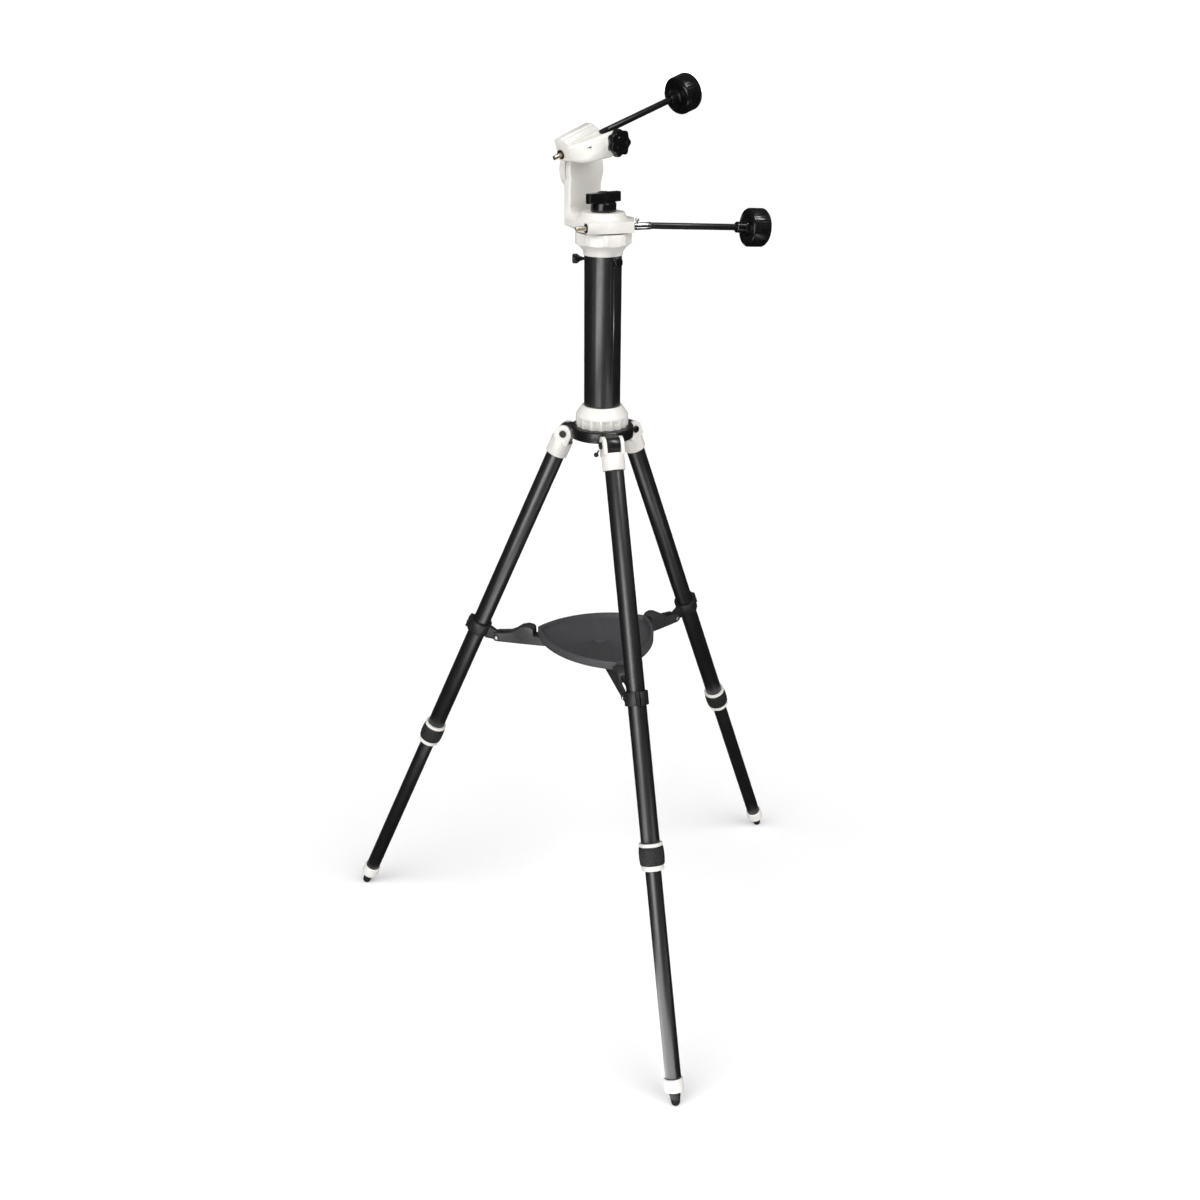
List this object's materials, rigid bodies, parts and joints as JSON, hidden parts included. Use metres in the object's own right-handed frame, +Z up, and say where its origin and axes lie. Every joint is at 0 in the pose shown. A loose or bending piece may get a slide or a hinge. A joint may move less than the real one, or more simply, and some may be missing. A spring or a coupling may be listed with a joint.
{
  "type": "alt azimuth mount",
  "caption": "Telescope alt-azimuth head with slow-motion knobs on a pillar, with folding legs, sliding leg sections and an accessory tray.",
  "frame": {"origin": "on the floor under the middle of the pillar, on the azimuth axis", "axes": "+Z up along the azimuth axis, +X along the altitude axis away from the saddle, +Y completes the right-handed set"},
  "size_m": [0.7286, 0.6475, 1.2965],
  "materials": {
    "ivory_paint": "satin warm white powder coat on castings",
    "black_tube": "satin black enamel on tube",
    "black_casting": "semi-gloss black on castings",
    "black_knob": "gloss black moulded plastic",
    "tray_plastic": "fine-grained dark grey moulded plastic",
    "rubber": "matte black rubber",
    "black_steel": "black-oxide steel",
    "zinc_steel": "bright zinc-plated steel",
    "brass": "turned brass",
    "chrome": "polished chrome",
    "cable_sleeve": "satin black sleeve over a steel cable"
  },
  "bodies": {
    "root": {"hub": "black_casting", "pillar_plug": "zinc_steel", "pillar": "black_tube", "head_cup": "ivory_paint", "hinge_bolts": "black_steel", "az_spindle": "zinc_steel"},
    "collar_nut": {"collar_nut": "ivory_paint"},
    "thumb_a": {"thumb_screw_a": "black_knob"},
    "thumb_b": {"thumb_screw_b": "black_knob"},
    "thumb_c": {"thumb_screw_c": "black_knob"},
    "leg_a": {"yoke_a": "ivory_paint", "upper_tube_a": "black_tube", "clamp_rings_a": "ivory_paint", "spreader_band_a": "tray_plastic", "lug_pin_a": "zinc_steel"},
    "leg_b": {"yoke_b": "ivory_paint", "upper_tube_b": "black_tube", "clamp_rings_b": "ivory_paint", "spreader_band_b": "tray_plastic", "lug_pin_b": "zinc_steel"},
    "leg_c": {"yoke_c": "ivory_paint", "upper_tube_c": "black_tube", "clamp_rings_c": "ivory_paint", "spreader_band_c": "tray_plastic", "lug_pin_c": "zinc_steel"},
    "nut_a": {"twist_nut_a": "rubber"},
    "lower_a": {"lower_tube_a": "black_tube", "foot_ferrule_a": "ivory_paint", "foot_tip_a": "rubber"},
    "nut_b": {"twist_nut_b": "rubber"},
    "lower_b": {"lower_tube_b": "black_tube", "foot_ferrule_b": "ivory_paint", "foot_tip_b": "rubber"},
    "nut_c": {"twist_nut_c": "rubber"},
    "lower_c": {"lower_tube_c": "black_tube", "foot_ferrule_c": "ivory_paint", "foot_tip_c": "rubber"},
    "tray": {"tray": "tray_plastic", "tray_pins": "zinc_steel"},
    "spreader_a": {"spreader_arm_a": "tray_plastic"},
    "spreader_b": {"spreader_arm_b": "tray_plastic"},
    "spreader_c": {"spreader_arm_c": "tray_plastic"},
    "az_wheel": {"az_wheel": "brass"},
    "arm": {"arm": "ivory_paint", "alt_block": "ivory_paint", "shaft_bushes": "black_steel"},
    "az_worm": {"az_worm": "brass", "az_coupler": "chrome"},
    "az_hand": {"az_cable": "cable_sleeve", "az_knob": "black_knob"},
    "clutch": {"clutch_knob": "black_knob"},
    "alt_wheel": {"alt_wheel": "brass"},
    "saddle": {"saddle": "ivory_paint"},
    "alt_worm": {"alt_worm": "brass", "alt_coupler": "black_steel"},
    "alt_hand": {"alt_cable": "cable_sleeve", "alt_knob": "black_knob"},
    "lock_knob": {"star_knob": "black_knob"},
    "saddle_screw": {"saddle_screw": "black_knob"},
    "saddle_jaw": {"saddle_jaw": "black_casting"}
  },
  "joints": [
    {"name": "collar_nut_turn", "type": "hinge", "parent": "root", "child": "collar_nut", "pos_m": [0, 0, 0.86], "axis": [0, 0, 1], "range_deg": [0, 90]},
    {"name": "thumb_a_turn", "type": "hinge", "parent": "root", "child": "thumb_a", "pos_m": [0, 0, 1.0721], "axis": [0.9781, -0.2079, 0], "range_deg": [0, 360]},
    {"name": "thumb_b_turn", "type": "hinge", "parent": "root", "child": "thumb_b", "pos_m": [0, 0, 1.0721], "axis": [-0.309, 0.9511, 0], "range_deg": [0, 360]},
    {"name": "thumb_c_turn", "type": "hinge", "parent": "root", "child": "thumb_c", "pos_m": [0, 0, 1.0721], "axis": [-0.6691, -0.7431, 0], "range_deg": [0, 360]},
    {"name": "leg_a_fold", "type": "hinge", "parent": "root", "child": "leg_a", "pos_m": [0.04638, -0.02461, 0.832], "axis": [0.4687, 0.8834, 0], "range_deg": [0, 8]},
    {"name": "leg_b_fold", "type": "hinge", "parent": "root", "child": "leg_b", "pos_m": [-0.00188, 0.05247, 0.832], "axis": [-0.9994, -0.0358, 0], "range_deg": [0, 8]},
    {"name": "leg_c_fold", "type": "hinge", "parent": "root", "child": "leg_c", "pos_m": [-0.0445, -0.02786, 0.832], "axis": [0.5307, -0.8476, 0], "range_deg": [0, 8]},
    {"name": "nut_a_turn", "type": "hinge", "parent": "leg_a", "child": "nut_a", "pos_m": [0.24504, -0.13002, 0.31696], "axis": [0.3535, -0.1876, -0.9164], "range_deg": [0, 90]},
    {"name": "leg_a_length", "type": "slide", "parent": "leg_a", "child": "lower_a", "axis": [0.3535, -0.1876, -0.9164], "range_m": [-0.28, 0.05]},
    {"name": "nut_b_turn", "type": "hinge", "parent": "leg_b", "child": "nut_b", "pos_m": [-0.00992, 0.27722, 0.31696], "axis": [-0.0143, 0.3999, -0.9164], "range_deg": [0, 90]},
    {"name": "leg_b_length", "type": "slide", "parent": "leg_b", "child": "lower_b", "axis": [-0.0143, 0.3999, -0.9164], "range_m": [-0.28, 0.05]},
    {"name": "nut_c_turn", "type": "hinge", "parent": "leg_c", "child": "nut_c", "pos_m": [-0.23512, -0.1472, 0.31696], "axis": [-0.3392, -0.2124, -0.9164], "range_deg": [0, 90]},
    {"name": "leg_c_length", "type": "slide", "parent": "leg_c", "child": "lower_c", "axis": [-0.3392, -0.2124, -0.9164], "range_m": [-0.28, 0.05]},
    {"name": "tray_rise", "type": "slide", "parent": "root", "child": "tray", "axis": [0, 0, 1], "range_m": [0, 0.0661]},
    {"name": "spreader_a_tilt", "type": "hinge", "parent": "tray", "child": "spreader_a", "pos_m": [0.05477, -0.02906, 0.5035], "axis": [0.4687, 0.8834, 0], "range_deg": [0, 57]},
    {"name": "spreader_b_tilt", "type": "hinge", "parent": "tray", "child": "spreader_b", "pos_m": [-0.00222, 0.06196, 0.5035], "axis": [-0.9994, -0.0358, 0], "range_deg": [0, 57]},
    {"name": "spreader_c_tilt", "type": "hinge", "parent": "tray", "child": "spreader_c", "pos_m": [-0.05255, -0.0329, 0.5035], "axis": [0.5307, -0.8476, 0], "range_deg": [0, 57]},
    {"name": "azimuth_push", "type": "hinge", "parent": "root", "child": "az_wheel", "pos_m": [0, 0, 1.1157], "axis": [0, 0, 1], "continuous": true},
    {"name": "azimuth_fine", "type": "hinge", "parent": "az_wheel", "child": "arm", "pos_m": [0, 0, 1.1157], "axis": [0, 0, 1], "continuous": true},
    {"name": "azimuth_worm_turn", "type": "hinge", "parent": "arm", "child": "az_worm", "pos_m": [0.02541, -0.01078, 1.1157], "axis": [0.3907, 0.9205, 0], "continuous": true},
    {"name": "azimuth_hand_turn", "type": "hinge", "parent": "arm", "child": "az_hand", "pos_m": [0.0474, 0.04104, 1.1157], "axis": [0.3901, 0.9191, -0.0558], "continuous": true},
    {"name": "azimuth_clutch", "type": "hinge", "parent": "root", "child": "clutch", "pos_m": [0, 0, 1.14], "axis": [0, 0, 1], "range_deg": [0, 90]},
    {"name": "altitude_fine", "type": "hinge", "parent": "arm", "child": "alt_wheel", "pos_m": [-0.0439, 0.002, 1.182], "axis": [1, 0, 0], "continuous": true},
    {"name": "altitude_push", "type": "hinge", "parent": "alt_wheel", "child": "saddle", "pos_m": [-0.05, 0.002, 1.182], "axis": [1, 0, 0], "continuous": true},
    {"name": "altitude_worm_turn", "type": "hinge", "parent": "arm", "child": "alt_worm", "pos_m": [-0.0402, -0.0376, 1.2022], "axis": [0, 0.9511, 0.309], "continuous": true},
    {"name": "altitude_hand_turn", "type": "hinge", "parent": "arm", "child": "alt_hand", "pos_m": [-0.0402, 0.04086, 1.22769], "axis": [0, 0.9603, 0.279], "continuous": true},
    {"name": "altitude_lock", "type": "hinge", "parent": "arm", "child": "lock_knob", "pos_m": [0.02, 0.003, 1.2184], "axis": [1, 0, 0], "range_deg": [0, 180]},
    {"name": "saddle_screw_turn", "type": "hinge", "parent": "saddle", "child": "saddle_screw", "pos_m": [-0.063, 0.014, 1.146], "axis": [0, 0, 1], "range_deg": [0, 1152]},
    {"name": "saddle_jaw_slide", "type": "slide", "parent": "saddle", "child": "saddle_jaw", "axis": [0, 0, 1], "range_m": [0, 0.0041]}
  ],
  "couplings": [
    {"joint": "leg_b_fold", "follows": "leg_a_fold", "ratio": 1},
    {"joint": "leg_c_fold", "follows": "leg_a_fold", "ratio": 1},
    {"joint": "tray_rise", "follows": "leg_a_fold", "m_per_rad": 0.47269},
    {"joint": "spreader_a_tilt", "follows": "leg_a_fold", "ratio": 7.1},
    {"joint": "spreader_b_tilt", "follows": "leg_a_fold", "ratio": 7.1},
    {"joint": "spreader_c_tilt", "follows": "leg_a_fold", "ratio": 7.1},
    {"joint": "azimuth_worm_turn", "follows": "azimuth_fine", "ratio": 60},
    {"joint": "azimuth_hand_turn", "follows": "azimuth_fine", "ratio": 60},
    {"joint": "altitude_worm_turn", "follows": "altitude_fine", "ratio": -72},
    {"joint": "altitude_hand_turn", "follows": "altitude_fine", "ratio": -72},
    {"joint": "saddle_jaw_slide", "follows": "saddle_screw_turn", "m_per_rad": 0.00019894}
  ]
}
